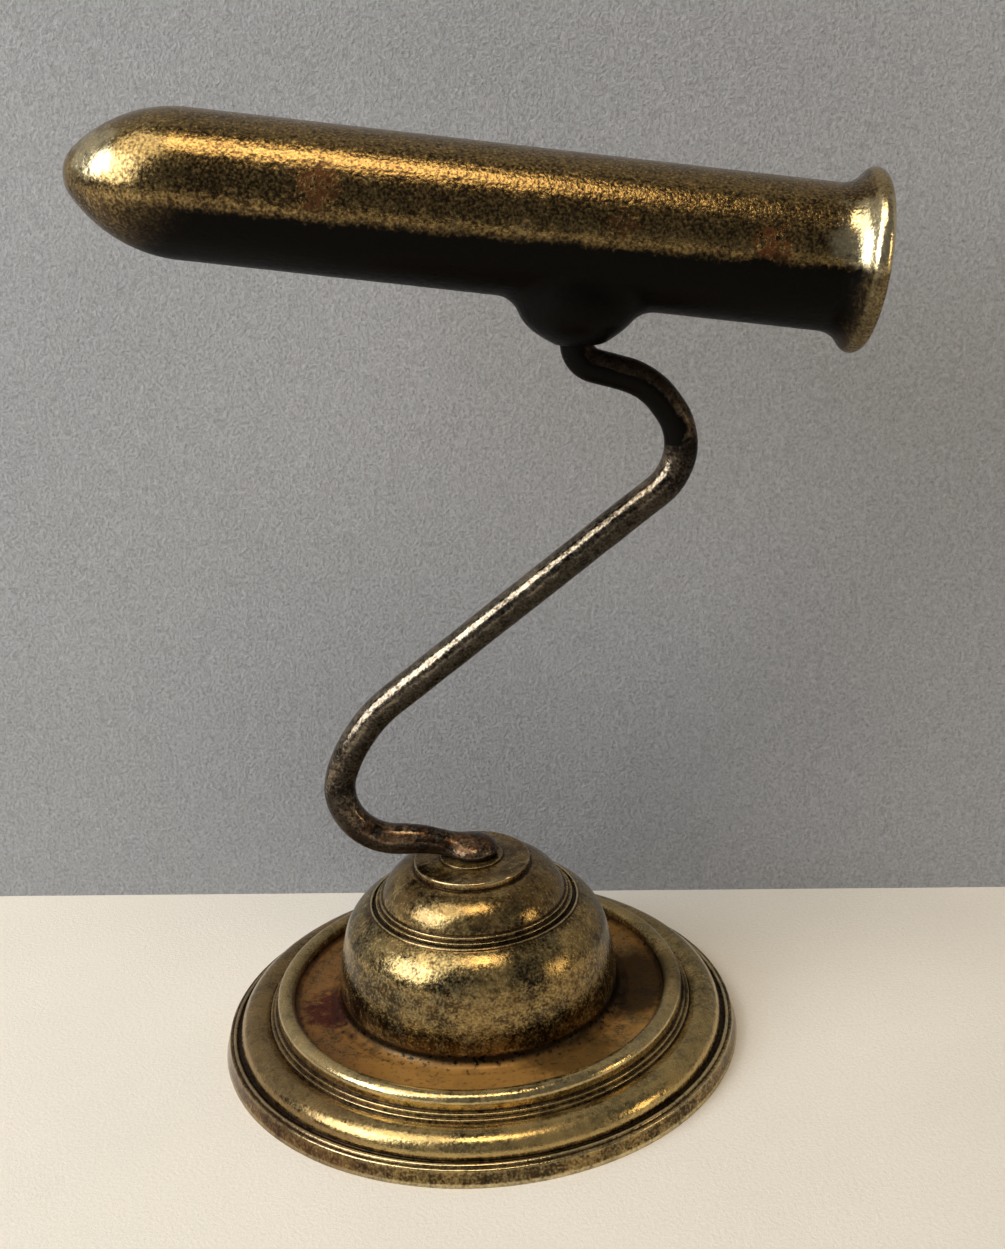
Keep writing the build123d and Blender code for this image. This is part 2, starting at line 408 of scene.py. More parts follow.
@dataclass(frozen=True)
class BarrelPatina(Patina):
    """The barrel's finish: gold-brown on top, black scale with painted shade underneath, painted highlights on the nose
    and in the flare, rougher towards the mouth.
    """

    droop: float = 9.13
    height: float = 179.0
    # where the black scale and painted shade under the barrel begins and ends
    scale_and_shade_edge: float = -1.6
    scale_and_shade_rise: float = 0.022
    scale_and_shade_from: float = -50.0
    scale_and_shade_to: float = 84.0
    rim_width: float = 2.2
    # painted highlights on the nose and in the throat of the flare
    highlight_spots: tuple[Patch, ...] = (Patch((-62.0, -8.0, 194.5), 7.0, 0.6), Patch((81.0, -13.0, 172.0), 9.0, 0.7))

    def station(self, shader: Shader) -> tuple[Value, Value]:
        """Places along and across the barrel.

        Args:
            shader: the material's shader.

        Returns:
            The distance along the barrel's axis, towards the mouth, and the height above it,
            in millimetres.
        """
        turn = radians(self.droop)
        x, z = shader.axis("X"), shader.axis("Z") - self.height
        return x * cos(turn) - z * sin(turn), x * sin(turn) + z * cos(turn)

    def scale_and_painted_shade(self, shader: Shader) -> Value:
        """Black scale and painted shade under the barrel, from behind the nose to the flare."""
        along, above = self.station(shader)
        ragged = (shader.noise(8.0, 4.0, 0.6) - 0.5) * 3.0 + (shader.noise(0.9, 3.0, 0.6) - 0.5) * 3.0
        edge = above + ragged - along * self.scale_and_shade_rise
        below = edge.step(self.scale_and_shade_edge + 1.5, self.scale_and_shade_edge - 1.0)
        behind_nose = (along + ragged * 3.0 - above * 0.8).step(self.scale_and_shade_from - 16.0, self.scale_and_shade_from + 10.0)
        before_mouth = (along + ragged * 2.0).step(self.scale_and_shade_to + 4.0, self.scale_and_shade_to - 6.0)
        # painted shade with black scale: the lower side of the barrel is made black
        return below * behind_nose * (0.35 + before_mouth * 0.65)

    def wear_and_painted_light(self, shader: Shader) -> Value:
        """A bright line just above the black scale and painted shade, which is a painted reflection; a duller belt
        below the top, which is painted shade; and painted shade under the nose.
        """
        along, above = self.station(shader)
        edge = above - along * self.scale_and_shade_rise - self.scale_and_shade_edge + (shader.noise(2.0) - 0.5) * 1.2
        # painted reflection: a thin bright line along the edge of the black underside
        line = edge.step(0.2, 1.2) * edge.step(self.rim_width + 1.4, self.rim_width) * along.step(-5.0, 20.0)
        # painted shade: a duller belt below the top of the barrel
        belt = above.step(9.0, 4.5) * along.step(-56.0, -40.0)
        # painted shade: the underside of the nose made darker
        nose_foot = above.step(1.0, -5.0) * along.step(-34.0, -46.0)
        return line * 0.30 - belt * 0.16 - nose_foot * 0.35

    def painted_highlight(self, shader: Shader) -> Value:
        """Painted highlights in bright metal on the nose and in the throat of the flare."""
        spots = [shader.near(spot.place, spot.radius) * spot.strength for spot in self.highlight_spots]
        return spots[0] + spots[1]

    def coarseness(self, shader: Shader) -> Value:
        """How rough the skin is: smooth at the nose, rougher towards the mouth."""
        along, _ = self.station(shader)
        return 0.45 + along.step(-56.0, -20.0) * 0.75


@dataclass(frozen=True)
class FootPatina(Patina):
    """The foot's finish: worn crests, a red-brown dish with a painted sheen at its front and sooty black with painted
    shade beside the bell's right side, and a brown cap.
    """

    red: Colour = (0.075, 0.018, 0.008)
    varnish: Colour = (0.13, 0.062, 0.018)
    dish_level: float = 9.4
    bell_radius: float = 33.0
    dish_radius: float = 41.2
    red_patch: Patch = Patch((-31.5, -6.0, 10.0), 9.0)
    # soot with painted shade in the dish beside the bell's right side
    soot_and_shade_patch: Patch = Patch((34.0, -1.0, 10.5), 18.0)
    dirt_patch: Patch = Patch((19.0, -27.5, 9.6), 13.0)

    def reach(self, shader: Shader) -> Value:
        """The distance from the foot's axis, in millimetres."""
        x, y = shader.axis("X"), shader.axis("Y")
        return (x * x + y * y) ** 0.5

    def rust_bed_and_sheen(self, shader: Shader) -> Value:
        """Red-brown lacquer on the floor of the dish, patchy, with more of it at the front as a painted sheen."""
        reach = self.reach(shader) + (shader.noise(6.0) - 0.5) * 3.0
        bed = reach.step(self.bell_radius - 4.0, self.bell_radius - 2.0) * reach.step(
            self.dish_radius + 1.0, self.dish_radius - 1.0
        )
        low = shader.axis("Z").step(self.dish_level + 1.6, self.dish_level + 0.4)
        # painted sheen: the front of the dish gets more of the lighter lacquer colour
        front = shader.axis("Y").step(-22.0, -32.0) * 0.35
        return bed * low * (0.45 + shader.noise(3.0, 4.0, 0.6).step(0.40, 0.62) * 0.35 + front)

    def lacquered(self, shader: Shader, colour: bpy.types.NodeSocket) -> bpy.types.NodeSocket:
        """Brown varnish on the cap, and dark red lacquer on the dish's left half, thick by the bell."""
        cap = shader.axis("Z").step(33.0, 37.0) * (0.15 + shader.noise(5.0, 4.0, 0.6).step(0.35, 0.65) * 0.45)
        colour = shader.mix(cap, colour, self.varnish)
        left = shader.axis("X").step(-16.0, -30.0) * shader.axis("Z").step(13.0, 9.6)
        spot = shader.near(self.red_patch.place, self.red_patch.radius) * shader.noise(2.0).step(0.30, 0.55)
        return shader.mix(spot * 0.85 + left * 0.45, colour, self.red)

    def scale_and_painted_shade(self, shader: Shader) -> Value:
        """Soot with painted shade in the dish behind the bell's right side, and a ragged line of dirt round the bell.
        """
        # painted shade with soot: the dish beside the bell's right side is made black
        soot_and_shade = shader.near(self.soot_and_shade_patch.place, self.soot_and_shade_patch.radius) * 0.85
        soot_and_shade = soot_and_shade * shader.axis("Z").step(16.0, 11.0)
        jag = (shader.noise(2.2, 4.0, 0.65) - 0.5) * 5.0
        ring = (self.reach(shader) + jag - self.bell_radius - 0.6).math("ABSOLUTE")
        dirt = ring.step(0.75, 0.35) * shader.near(self.dirt_patch.place, self.dirt_patch.radius)
        return (soot_and_shade + dirt * shader.axis("Z").step(12.0, 10.0)).clamped()

    def wear_and_painted_light(self, shader: Shader) -> Value:
        """Duller on the bell's wall, brighter on the cap and the mouldings."""
        z = shader.axis("Z")
        on_wall = z.step(11.0, 14.0) * z.step(31.0, 25.0)
        on_torus = z.step(3.6, 5.0) * self.reach(shader).step(40.5, 43.0)
        return z.step(32.0, 36.0) * 0.18 - on_wall * 0.12 - z.step(3.2, 2.4) * 0.20 + on_torus * 0.45


@dataclass(frozen=True)
class StemPatina(Patina):
    """The stem's finish: dark skin with rust at both ends, scale under the top bend and painted shade along the rod's
    underside.
    """

    arm_top: float = 58.0
    bend_bottom: float = 128.0
    # the normal's Z part below which the rod's underside gets painted shade
    under_edge: float = 0.10
    knuckle: Patch = Patch((0.0, 0.0, 45.5), 14.0, 0.15)

    def rust_bed_and_sheen(self, shader: Shader) -> Value:
        """Rust on the arm above the crown and on the arm below the boss."""
        z = shader.axis("Z")
        ends = z.step(self.arm_top, self.arm_top - 8.0) + z.step(self.bend_bottom, self.bend_bottom + 15.0)
        ends = ends.clamped() * shader.noise(3.0, 4.0, 0.65).step(0.38, 0.60) * 0.45
        return ends

    def wear_and_painted_light(self, shader: Shader) -> Value:
        """Darker at the knuckle and in the bends, brighter on the straight of the rod."""
        z = shader.axis("Z")
        straight = z.step(64.0, 76.0) * z.step(self.bend_bottom - 4.0, self.bend_bottom - 18.0)
        knuckle = shader.near(self.knuckle.place, self.knuckle.radius) * self.knuckle.strength
        return straight * 0.28 - knuckle - 0.12

    def scale_and_painted_shade(self, shader: Shader) -> Value:
        """Black scale on the arm below the boss, and painted shade along the underside of the rod."""
        ragged = shader.noise(2.5, 4.0, 0.6) - 0.5
        arm = (shader.axis("Z") + ragged * 8.0).step(self.bend_bottom - 2.0, self.bend_bottom + 17.0) * 0.9
        # painted shade: the downward-facing side of the rod is made black
        under = (shader.facing("Z") + ragged * 0.5).step(self.under_edge + 0.12, self.under_edge - 0.12)
        return (arm + under * 0.8).clamped()


class Outline:
    """Half section of a turned piece, a chain of lines and arcs that are sampled at an even step."""

    arc_points = 5

    def __init__(self, radius: float, level: float, step: float) -> None:
        """Starts the chain.

        Args:
            radius: the first point's distance from the axis.
            level: its height.
            step: the length of one sample.
        """
        self.points = [(radius, level)]
        self.heading = 0.0
        self.step = step

    def line(self, radius: float, level: float) -> "Outline":
        """Goes straight to a point."""
        start_radius, start_level = self.points[-1]
        run, rise = radius - start_radius, level - start_level
        count = max(1, round(sqrt(run**2 + rise**2) / self.step))
        shares = [place / count for place in range(1, count + 1)]
        self.points += [(start_radius + run * share, start_level + rise * share) for share in shares]
        self.heading = atan2(rise, run)
        return self

    def arc(self, radius: float, turn: float, heading: float | None = None) -> "Outline":
        """Turns on an arc.

        Args:
            radius: the arc's radius.
            turn: the angle turned in degrees, positive to the left.
            heading: the direction at its start in degrees. Left out, it is the chain's own.

        Returns:
            The outline.
        """
        start = self.heading if heading is None else radians(heading)
        side = radius if turn > 0 else -radius
        centre_radius = self.points[-1][0] - side * sin(start)
        centre_level = self.points[-1][1] + side * cos(start)
        count = max(self.arc_points, round(radius * abs(radians(turn)) / self.step))
        for place in range(1, count + 1):
            angle = start + radians(turn) * place / count
            self.points.append((centre_radius + side * sin(angle), centre_level - side * cos(angle)))
        self.heading = start + radians(turn)
        return self

    def bow(self, radius: float, level: float, rise: float) -> "Outline":
        """Goes to a point on an arc that rises from its chord, to the left where rise is positive."""
        run, climb = radius - self.points[-1][0], level - self.points[-1][1]
        chord = sqrt(run**2 + climb**2)
        arc_radius = (chord**2 / 4 + rise**2) / (2 * abs(rise))
        half = asin(chord / 2 / arc_radius) * (1 if rise > 0 else -1)
        start = atan2(climb, run) + half
        return self.arc(arc_radius, -2 * degrees(half), degrees(start))

    def turned(self, name: str, segments: int) -> bpy.types.Object:
        """Turns the closed section about the Z axis.

        Args:
            name: the piece's name.
            segments: how many faces go round.

        Returns:
            The piece.
        """
        section = np.array(self.points[:-1])
        around = np.arange(segments) * 2 * pi / segments
        rings = np.empty((segments, len(section), 3))
        rings[:, :, 0] = np.cos(around)[:, None] * section[None, :, 0]
        rings[:, :, 1] = np.sin(around)[:, None] * section[None, :, 0]
        rings[:, :, 2] = section[None, :, 1]
        ring, place = np.meshgrid(np.arange(segments), np.arange(len(section)), indexing="ij")
        next_ring, next_place = (ring + 1) % segments, (place + 1) % len(section)
        corners = [(ring, place), (next_ring, place), (next_ring, next_place), (ring, next_place)]
        faces = np.stack([(first * len(section) + second).ravel() for first, second in corners], 1)
        return solid(name, rings.reshape(-1, 3), faces)


def solid(name: str, places: np.ndarray, faces: np.ndarray) -> bpy.types.Object:
    """Makes a smooth-shaded mesh object.

    Args:
        name: the piece's name.
        places: the vertices, in metres.
        faces: the vertex numbers of each face.

    Returns:
        The piece, linked to the scene.
    """
    mesh = bpy.data.meshes.new(name)
    mesh.from_pydata(places.tolist(), [], faces.tolist())
    mesh.shade_smooth()
    piece = bpy.data.objects.new(name, mesh)
    bpy.context.scene.collection.objects.link(piece)
    return piece


def applied(piece: bpy.types.Object) -> None:
    """Replaces a piece's mesh by what its modifiers make of it."""
    graph = bpy.context.evaluated_depsgraph_get()
    mesh = bpy.data.meshes.new_from_object(piece.evaluated_get(graph))
    piece.modifiers.clear()
    piece.data = mesh
    mesh.shade_smooth()


def fine_copy(node: str, voxel: float) -> bpy.types.Object:
    """Makes an even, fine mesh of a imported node, on the node's own surface.

    Args:
        node: the node's name.
        voxel: the size of the mesh's faces.

    Returns:
        The piece.
    """
    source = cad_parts[node]
    piece = bpy.data.objects.new(f"{node}_skin", source.data.copy())
    piece.data.materials.clear()
    bpy.context.scene.collection.objects.link(piece)
    remesh = piece.modifiers.new("even", "REMESH")
    remesh.mode = "VOXEL"
    remesh.voxel_size = voxel
    seat = piece.modifiers.new("seat", "SHRINKWRAP")
    seat.target = source
    applied(piece)
    return piece


def edges_of(mesh: bpy.types.Mesh) -> tuple[np.ndarray, np.ndarray]:
    """The vertex numbers at both ends of a mesh's edges."""
    ends = np.empty(len(mesh.edges) * 2, np.int32)
    mesh.edges.foreach_get("vertices", ends)
    return ends[::2], ends[1::2]


def places_of(mesh: bpy.types.Mesh) -> np.ndarray:
    """The places of a mesh's vertices."""
    flat = np.empty(len(mesh.vertices) * 3)
    mesh.vertices.foreach_get("co", flat)
    return flat.reshape(-1, 3)


def neighbour_mean(places: np.ndarray, first: np.ndarray, second: np.ndarray) -> np.ndarray:
    """The mean place of each vertex's neighbours.

    Args:
        places: the vertices.
        first: the vertex number at one end of each edge.
        second: the vertex number at the other end.

    Returns:
        The mean places.
    """
    count = len(places)
    degree = np.bincount(first, minlength=count) + np.bincount(second, minlength=count)
    total = [
        np.bincount(first, places[second, axis], count) + np.bincount(second, places[first, axis], count)
        for axis in range(3)
    ]
    return np.stack(total, 1) / degree[:, None]


def soften(piece: bpy.types.Object, place: Point, radius: float, passes: int) -> None:
    """Blends the creases of a forged joint near a place.

    Args:
        piece: the piece.
        place: the middle of the joint.
        radius: how far the blend reaches.
        passes: how many times it is smoothed.
    """
    first, second = edges_of(piece.data)
    places = places_of(piece.data)
    gap = np.linalg.norm(places - np.array(place), axis=1) / radius
    share = np.clip(1.5 - 1.5 * gap, 0, 1)[:, None] * 0.6
    for _ in range(passes):
        places += (neighbour_mean(places, first, second) - places) * share
    piece.data.vertices.foreach_set("co", places.ravel())
    piece.data.update()


@dataclass(frozen=True)
class Dent:
    """A nick in a surface: where it is, how wide and how deep."""

    place: Point
    radius: float
    depth: float


@dataclass(frozen=True)
class Relief:
    """Unevenness of a cast or forged skin. It only cuts inwards, so no piece outgrows its size."""

    wave: float = 0.10 * MM
    wave_size: float = 11.0 * MM
    grain: float = 0.05 * MM
    grain_size: float = 1.3 * MM
    pit: float = 0.08 * MM
    pit_size: float = 1.5 * MM
    pit_patch: float = 14.0 * MM
    pit_share: float = 0.12
    dents: tuple[Dent, ...] = ()
    crest_height: float = 0.12 * MM
    passes: int = 10

    def depth(self, spot: Vector) -> float:
        """How far the skin lies below the piece's nominal surface.

        Args:
            spot: a point on that surface.

        Returns:
            The depth, never negative.
        """
        wave = self.wave * (0.5 + 0.5 * noise.noise(spot / self.wave_size))
        grain = self.grain * (0.5 + 0.5 * noise.noise(spot / self.grain_size))
        patch = noise.noise(spot / self.pit_patch + Vector((5, 3, 8))) + self.pit_share
        pit = 0.0
        if patch > 0:
            gap = noise.voronoi(spot / self.pit_size)[0][0]
            pit = self.pit * max(0.0, 1 - gap / 0.45) * min(1.0, patch * 5)
        return wave + grain + pit

    def carve(self, piece: bpy.types.Object) -> None:
        """Cuts the relief into a piece and marks its crests and hollows for the finish.

        Args:
            piece: the piece.
        """
        mesh = piece.data
        count = len(mesh.vertices)
        places = places_of(mesh)
        normals = np.empty(count * 3)
        mesh.vertices.foreach_get("normal", normals)
        normals = normals.reshape(-1, 3)
        depths = np.array([self.depth(Vector(place)) for place in places])
        for dent in self.dents:
            gaps = np.linalg.norm(places - np.array(dent.place), axis=1) / dent.radius
            depths += dent.depth * np.clip(1 - gaps**2, 0, 1)
        places = places - normals * depths[:, None]
        mesh.vertices.foreach_set("co", places.ravel())
        mesh.update()
        bulge = self.bulge(mesh, places, normals) / self.crest_height
        for name, amount in (("crest", bulge), ("hollow", -bulge)):
            mark = mesh.attributes.new(name, "FLOAT", "POINT")
            mark.data.foreach_set("value", np.clip(amount, 0, 1).astype(np.float32))

    def bulge(self, mesh: bpy.types.Mesh, places: np.ndarray, normals: np.ndarray) -> np.ndarray:
        """How far each vertex stands above the surface around it.

        Args:
            mesh: the mesh.
            places: its vertices.
            normals: their normals.

        Returns:
            The height of each vertex, positive on a crest and negative in a hollow.
        """
        first, second = edges_of(mesh)
        mean = places
        for _ in range(self.passes):
            mean = neighbour_mean(mean, first, second)
        return ((places - mean) * normals).sum(1)


def fit(piece: bpy.types.Object, material: bpy.types.Material, slot: str, *nodes: str) -> None:
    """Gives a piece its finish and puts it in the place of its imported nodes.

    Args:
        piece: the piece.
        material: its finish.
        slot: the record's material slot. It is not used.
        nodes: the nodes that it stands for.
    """
    piece.data.materials.clear()
    piece.data.materials.append(material)
    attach(piece, BODY)
    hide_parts(*nodes)
    log.info("%s: %d faces", piece.name, len(piece.data.polygons))


def foot_finish() -> FootPatina:
    """The finish of the foot, with an orange-brown lacquer for rust."""
    return FootPatina(
        "foot_patina",
        metal=(0.54, 0.40, 0.165),
        brown=(0.046, 0.030, 0.014),
        rust=(0.33, 0.170, 0.045),
        worn=0.33,
        clouded=1.5,
        mottled=2.1,
        bloomed=0.26,
    )


def foot_relief() -> Relief:
    """The relief of the foot, with three nicks in its torus."""
    nicks = (
        Dent((-0.0371, -0.0284, 0.0075), 1.2 * MM, 0.11 * MM),
        Dent((0.0397, -0.0309, 0.0081), 1.0 * MM, 0.10 * MM),
        Dent((0.0445, -0.0260, 0.0076), 1.0 * MM, 0.10 * MM),
    )
    return Relief(grain=0.02 * MM, pit=0.05 * MM, dents=nicks)


@dataclass(frozen=True)
class Foot:
    """The foot casting: moulded rim, dished plate, bell, rings, cap, disc and seat."""

    radius: float = 57.15 * MM
    band_height: float = 3.6 * MM
    band_draft: float = 0.85 * MM
    band_round: float = 0.5 * MM
    ledge_width: float = 0.9 * MM
    bead_radius: float = 0.5 * MM
    quirk_width: float = 0.8 * MM
    torus_radius: float = 4.2 * MM
    torus_lift: float = 0.4 * MM
    torus_sweep: float = 130.0
    step_width: float = 0.8 * MM
    step_height: float = 0.85 * MM
    step_count: int = 2
    lip_radius: float = 2.0 * MM
    lip_rise: float = 1.5 * MM
    dish_depth: float = 3.0 * MM
    dish_fillet: float = 0.8 * MM
    bell_radius: float = 30.7 * MM
    bell_fillet: float = 2.6 * MM
    bell_wall_radius: float = 48.0 * MM
    bell_wall_turn: float = 15.7
    bell_shoulder_radius: float = 11.6 * MM
    bell_shoulder_turn: float = 47.3
    ring_radius: float = 0.35 * MM
    groove_width: float = 0.7 * MM
    groove_depth: float = 0.3 * MM
    collar_width: float = 0.9 * MM
    collar_height: float = 0.85 * MM
    cap_inset: float = 0.6 * MM
    cap_run: float = 6.5 * MM
    cap_rise: float = 6.5 * MM
    cap_bulge: float = 1.25 * MM
    disc_inset: float = 0.9 * MM
    disc_height: float = 1.7 * MM
    disc_round: float = 0.5 * MM
    disc_rise: float = 0.3 * MM
    seat_radius: float = 6.9 * MM
    seat_height: float = 0.5 * MM
    seat_round: float = 0.25 * MM
    hole_radius: float = 3.15 * MM
    wall: float = 3.2 * MM
    ring_width: float = 4.6 * MM
    ring_rise: float = 1.4 * MM
    plate_run_out: float = 7.5 * MM
    crown_thickness: float = 4.4 * MM
    crown_pad_radius: float = 11.4 * MM
    fine: float = 0.24 * MM
    plain: float = 0.45 * MM
    hidden: float = 1.2 * MM
    segments: int = 560
    finish: Patina = field(default_factory=lambda: foot_finish())
    relief: Relief = field(default_factory=lambda: foot_relief())

    def section(self) -> Outline:
        """The foot's half section, from the foot of the rim over the top and back underneath.

        Returns:
            The closed outline.
        """
        outline = Outline(self.radius, 0.0, self.fine)
        self.moulding(outline)
        self.bell(outline)
        self.crown(outline)
        self.underside(outline)
        return outline

    def moulding(self, outline: Outline) -> None:
        """Draws the band, bead, torus, steps and lip."""
        band_radius = self.radius - self.band_draft
        outline.line(band_radius, self.band_height - self.band_round).arc(self.band_round, 90, 90)
        ledge_inner = band_radius - self.ledge_width
        outline.line(ledge_inner, self.band_height).arc(self.bead_radius, 180, 90)
        torus_outer = ledge_inner - 2 * self.bead_radius - self.quirk_width
        torus_start = degrees(asin(self.torus_lift / self.torus_radius))
        outline.line(torus_outer, self.band_height)
        outline.arc(self.torus_radius, self.torus_sweep + torus_start, 90 - torus_start)
        for _ in range(self.step_count):
            radius, level = outline.points[-1]
            outline.line(radius, level + self.step_height)
            outline.line(radius - self.step_width, level + self.step_height)
        radius, level = outline.points[-1]
        outline.line(radius, level + self.lip_rise).arc(self.lip_radius, 180, 90)

    def bell(self, outline: Outline) -> None:
        """Draws the dish, the bell and the rings round its shoulder."""
        lip_inner, lip_level = outline.points[-1]
        dish_level = lip_level + self.lip_radius - self.dish_depth
        outline.line(lip_inner, dish_level + self.dish_fillet).arc(self.dish_fillet, -90)
        outline.step = self.plain
        outline.line(self.bell_radius + self.bell_fillet, dish_level).arc(self.bell_fillet, -90)
        outline.arc(self.bell_wall_radius, self.bell_wall_turn)
        outline.arc(self.bell_shoulder_radius, self.bell_shoulder_turn)
        outline.step = self.fine
        outline.arc(self.ring_radius, 180, 90)
        radius, level = outline.points[-1]
        outline.bow(radius - self.groove_width, level, self.groove_depth)

    def crown(self, outline: Outline) -> None:
        """Draws the collar, cap, disc and seat, and the hole through them."""
        radius, level = outline.points[-1]
        level += self.collar_height
        outline.line(radius, level).line(radius - self.collar_width, level)
        radius, level = radius - self.collar_width, level + self.collar_height
        outline.line(radius, level).line(radius - self.cap_inset, level)
        radius, level = radius - self.cap_inset - self.cap_run, level + self.cap_rise
        outline.bow(radius, level, -self.cap_bulge)
        radius, level = radius - self.disc_inset, level + self.disc_height
        outline.line(radius, outline.points[-1][1]).line(radius, level - self.disc_round)
        outline.arc(self.disc_round, 90, 90).line(self.seat_radius, level + self.disc_rise)
        seat_level = level + self.disc_rise + self.seat_height
        outline.line(self.seat_radius, seat_level - self.seat_round).arc(self.seat_round, 90, 90)
        outline.line(self.hole_radius, seat_level)

    def underside(self, outline: Outline) -> None:
        """Draws the hole's wall and the hollow underside, back to the start."""
        outline.step = self.hidden
        level = outline.points[-1][1] - self.crown_thickness
        outline.line(self.hole_radius, level).line(self.crown_pad_radius, level)
        shoulder = self.bell_wall_turn + self.bell_shoulder_turn
        across = self.bell_radius - self.bell_wall_radius
        across += (self.bell_wall_radius - self.bell_shoulder_radius) * cos(radians(self.bell_wall_turn))
        ring_edge = across + self.bell_shoulder_radius * cos(radians(shoulder))
        ring_level = self.shoulder_level()
        collar_edge = ring_edge - 2 * self.ring_radius - self.groove_width - self.collar_width
        cap_level = ring_level + 2 * self.collar_height
        outline.bow(collar_edge - self.cap_inset - self.wall, cap_level - self.wall, self.cap_bulge)
        inner_radius = ring_edge - self.wall * cos(radians(shoulder))
        outline.line(inner_radius, ring_level - self.wall * sin(radians(shoulder)))
        outline.arc(self.bell_shoulder_radius - self.wall, -self.bell_shoulder_turn, shoulder - 90)
        outline.arc(self.bell_wall_radius - self.wall, -self.bell_wall_turn)
        outline.arc(self.bell_fillet + self.wall, 90)
        ring_inner = self.radius - self.ring_width
        outline.line(ring_inner - self.plate_run_out, outline.points[-1][1])
        outline.line(ring_inner, self.ring_rise).line(ring_inner, 0.0).line(self.radius, 0.0)

    def shoulder_level(self) -> float:
        """The height at which the bell's shoulder ends."""
        torus_top = self.band_height + self.torus_lift + self.torus_radius * sin(radians(self.torus_sweep))
        dish = torus_top + self.step_count * self.step_height + self.lip_rise + self.lip_radius
        bell = dish - self.dish_depth + self.bell_fillet
        wall = (self.bell_wall_radius - self.bell_shoulder_radius) * sin(radians(self.bell_wall_turn))
        turn = radians(self.bell_wall_turn + self.bell_shoulder_turn)
        return bell + wall + self.bell_shoulder_radius * sin(turn)

    def build(self) -> None:
        """Builds and dresses the foot."""
        piece = self.section().turned("foot_casting", self.segments)
        self.relief.carve(piece)
        fit(piece, self.finish.build(), "foot_iron", "base")


def stem_finish() -> StemPatina:
    """The finish of the stem: greyer and darker than the castings."""
    return StemPatina(
        "stem_patina",
        metal=(0.34, 0.285, 0.205),
        brown=(0.028, 0.019, 0.012),
        rust=(0.15, 0.065, 0.024),
        worn=0.36,
        clouded=1.8,
        rusted=0.12,
        bloomed=0.0,
        gloss=0.15,
        edge_wear=0.0,
        polished=0.0,
        grain_depth=0.03 * MM,
    )


@dataclass(frozen=True)
class Stem:
    """The wrought stem with its washer and nut."""

    rod_face: float = 0.32 * MM
    fastener_face: float = 0.25 * MM
    knuckle_joint: Point = (-0.0035, 0.0, 0.0475)
    knuckle_blend: float = 11.0 * MM
    knuckle_passes: int = 220
    finish: Patina = field(default_factory=lambda: stem_finish())
    relief: Relief = field(default_factory=lambda: Relief(wave=0.15 * MM, wave_size=6.0 * MM, grain=0.02 * MM))
    fastener_finish: Patina = field(
        default_factory=lambda: Patina("fastener_scale", worn=0.1, rusted=0.35, gloss=0.5)
    )

    def build(self) -> None:
        """Builds and dresses the stem, its washer and its nut."""
        rod = fine_copy("stem", self.rod_face)
        soften(rod, self.knuckle_joint, self.knuckle_blend, self.knuckle_passes)
        self.relief.carve(rod)
        fit(rod, self.finish.build(), "stem_iron", "stem")
        dull = self.fastener_finish.build()
        for node in ("stem_washer", "stem_nut"):
            piece = fine_copy(node, self.fastener_face)
            self.relief.carve(piece)
            fit(piece, dull, "fastener_iron", node)


def barrel_finish() -> BarrelPatina:
    """The finish of the barrel, with its single scars."""
    return BarrelPatina(
        "barrel_patina",
        metal=(0.40, 0.27, 0.10),
        brown=(0.070, 0.042, 0.017),
        worn=0.42,
        clouded=0.5,
        mottled=1.0,
        speckled=2.4,
        rusted=0.03,
        bloomed=0.10,
        gloss=0.21,
        polished=0.25,
        grain_depth=0.05 * MM,
        scars=(
            Patch((62.7, -13.9, 171.4), 5.0),
            Patch((-20.5, -13.3, 186.0), 6.0, 0.8),
            Patch((35.0, -13.7, 176.5), 4.0, 0.5),
        ),
    )


@dataclass(frozen=True)
class Barrel:
    """The barrel casting with its boss, bore and flared mouth."""

    face: float = 0.42 * MM
    finish: Patina = field(default_factory=lambda: barrel_finish())
    relief: Relief = field(default_factory=lambda: Relief(wave=0.06 * MM, grain=0.025 * MM))

    def build(self) -> None:
        """Builds and dresses the barrel."""
        piece = fine_copy("barrel", self.face)
        self.relief.carve(piece)
        fit(piece, self.finish.build(), "barrel_iron", "barrel")


@dataclass(frozen=True)
class Lamp:
    """A soft rectangular lamp that points at the iron."""

    name: str
    direction: Point
    distance: float
    width: float
    height: float
    radiance: float
    colour: Colour

    def build(self, target: Vector) -> None:
        """Hangs the lamp.

        Args:
            target: the point that it lights.
        """
        data = bpy.data.lights.new(self.name, "AREA")
        data.shape = "RECTANGLE"
        data.size = self.width
        data.size_y = self.height
        data.energy = self.radiance * pi * self.width * self.height
        data.color = self.colour
        lamp = bpy.data.objects.new(self.name, data)
        towards = Vector(self.direction).normalized()
        lamp.location = target + towards * self.distance
        lamp.rotation_euler = towards.to_track_quat("Z", "Y").to_euler()
        bpy.context.scene.collection.objects.link(lamp)


